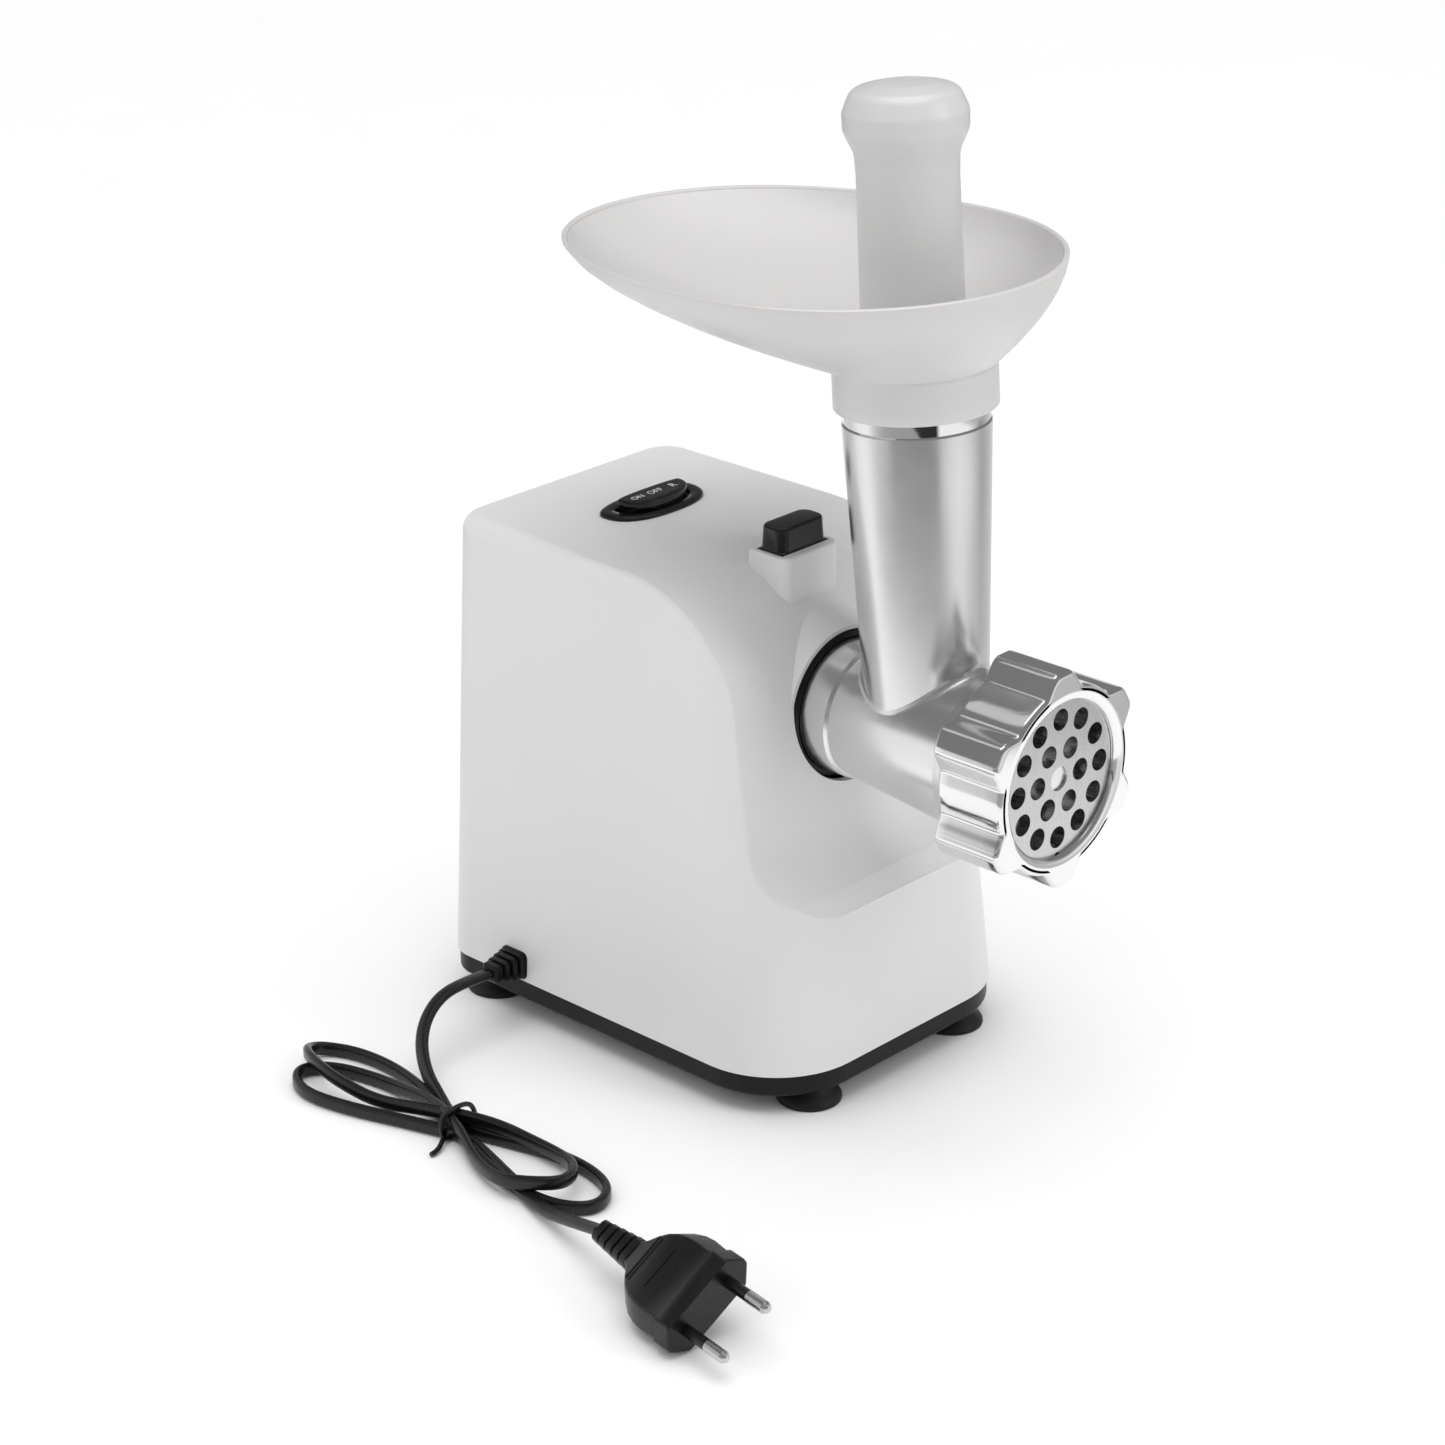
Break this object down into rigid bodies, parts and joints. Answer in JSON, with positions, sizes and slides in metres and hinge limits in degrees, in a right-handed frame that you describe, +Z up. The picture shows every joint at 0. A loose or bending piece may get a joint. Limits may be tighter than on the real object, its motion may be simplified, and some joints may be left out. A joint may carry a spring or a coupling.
{
  "type": "electric meat grinder",
  "caption": "White electric meat grinder with an aluminium head, white egg-shaped hopper tray, pusher, ring nut, release button, rocker switch and a corded two-pin plug",
  "frame": {"origin": "on the table under the middle of the grinder, cord and plug left out", "axes": "+Z up; -Y is the way the ring nut faces; +X is to the right of somebody who looks at the ring nut"},
  "size_m": [0.2481, 0.2483, 0.334],
  "materials": {
    "white_plastic": "satin moulded ABS",
    "light_plastic": "satin moulded polypropylene",
    "dark_plastic": "fine-grained black moulding",
    "gloss_black": "polished black moulding",
    "rubber_black": "matte black rubber",
    "steel": "turned or drawn steel",
    "blade_steel": "ground steel",
    "cast_aluminium": "fine cast and bead-blasted",
    "polished_aluminium": "polished",
    "bronze": "sintered bronze",
    "copper": "enamelled copper",
    "electrical_steel": "stacked laminations",
    "nylon": "natural nylon",
    "coupler_plastic": "glass-filled nylon",
    "graphite": "pressed carbon",
    "capacitor": "moulded resin",
    "cord_plastic": "soft black PVC"
  },
  "bodies": {
    "housing": {"housing_shell": "white_plastic", "base_plate": "dark_plastic", "foot_front_left": "rubber_black", "foot_front_right": "rubber_black", "foot_rear_left": "rubber_black", "foot_rear_right": "rubber_black", "foot_screws": "steel", "neck_ring": "dark_plastic", "head_socket": "white_plastic", "gearbox_case": "white_plastic", "gearbox_cover": "white_plastic", "gearbox_screws": "steel", "shaft_bushes": "bronze", "stator_core": "electrical_steel", "field_coils": "copper", "motor_bracket": "dark_plastic", "motor_bearings": "steel", "motor_screws": "steel", "brush_holders": "dark_plastic", "carbon_brushes": "graphite", "switch_bezel": "gloss_black", "switch_body": "dark_plastic", "lock_spring": "steel", "strain_relief": "dark_plastic", "terminal_block": "dark_plastic", "suppression_capacitor": "capacitor", "cord_lead": "cord_plastic", "cord_hank": "cord_plastic", "cord_tie": "cord_plastic", "cord_tail": "cord_plastic", "plug_body": "dark_plastic", "plug_pins": "steel", "pin_sleeves": "cord_plastic"},
    "rocker": {"switch_rocker": "gloss_black"},
    "button": {"lock_button": "gloss_black", "lock_latch": "dark_plastic"},
    "output_drive": {"output_shaft": "steel", "output_gear": "nylon", "drive_coupling": "coupler_plastic"},
    "intermediate_drive": {"intermediate_shaft": "steel", "intermediate_gear": "nylon", "intermediate_pinion": "steel"},
    "motor_rotor": {"motor_shaft": "steel", "armature_core": "electrical_steel", "armature_windings": "copper", "commutator": "copper", "cooling_fan": "nylon", "motor_pinion": "steel"},
    "head": {"grinder_head": "cast_aluminium", "head_bush": "bronze", "plate_key": "steel"},
    "auger": {"auger": "cast_aluminium", "auger_washer": "steel", "cutting_blade": "blade_steel"},
    "plate": {"cutting_plate": "blade_steel"},
    "nut": {"ring_nut": "polished_aluminium"},
    "tray": {"hopper_tray": "light_plastic"},
    "pusher": {"food_pusher": "light_plastic"}
  },
  "joints": [
    {"name": "rocker_tilt", "type": "hinge", "parent": "housing", "child": "rocker", "pos_m": [0, 0.0681, 0.17], "axis": [0, 1, 0], "range_deg": [-12, 12]},
    {"name": "lock_press", "type": "slide", "parent": "housing", "child": "button", "axis": [0, 0, -1], "range_m": [0, 0.0035], "stiffness_N_per_m": 400, "deforming": ["lock_spring"]},
    {"name": "output_spin", "type": "hinge", "parent": "housing", "child": "output_drive", "pos_m": [0, 0, 0.125], "axis": [0, -1, 0], "continuous": true},
    {"name": "intermediate_spin", "type": "hinge", "parent": "housing", "child": "intermediate_drive", "pos_m": [0, 0.02, 0.09], "axis": [0, -1, 0], "continuous": true},
    {"name": "motor_spin", "type": "hinge", "parent": "housing", "child": "motor_rotor", "pos_m": [0, 0.06, 0.06], "axis": [0, -1, 0], "continuous": true},
    {"name": "head_pull", "type": "slide", "parent": "housing", "child": "head", "axis": [0, -1, 0], "range_m": [0, 0.07]},
    {"name": "auger_spin", "type": "hinge", "parent": "head", "child": "auger", "pos_m": [0, -0.06, 0.125], "axis": [0, -1, 0], "continuous": true},
    {"name": "plate_slide", "type": "slide", "parent": "head", "child": "plate", "axis": [0, -1, 0], "range_m": [0, 0.012]},
    {"name": "nut_turn", "type": "hinge", "parent": "plate", "child": "nut", "pos_m": [0, -0.1, 0.125], "axis": [0, -1, 0], "range_deg": [0, 1440]},
    {"name": "tray_lift", "type": "slide", "parent": "head", "child": "tray", "axis": [0, 0.0628, 0.998], "range_m": [0, 0.025]},
    {"name": "pusher_slide", "type": "slide", "parent": "head", "child": "pusher", "axis": [0, 0.0628, 0.998], "range_m": [0, 0.19]}
  ],
  "couplings": [
    {"joint": "intermediate_spin", "follows": "output_spin", "ratio": -3.6667},
    {"joint": "motor_spin", "follows": "output_spin", "ratio": 20.778},
    {"joint": "auger_spin", "follows": "output_spin", "ratio": 1},
    {"joint": "plate_slide", "follows": "nut_turn", "m_per_rad": 0.00047746}
  ]
}
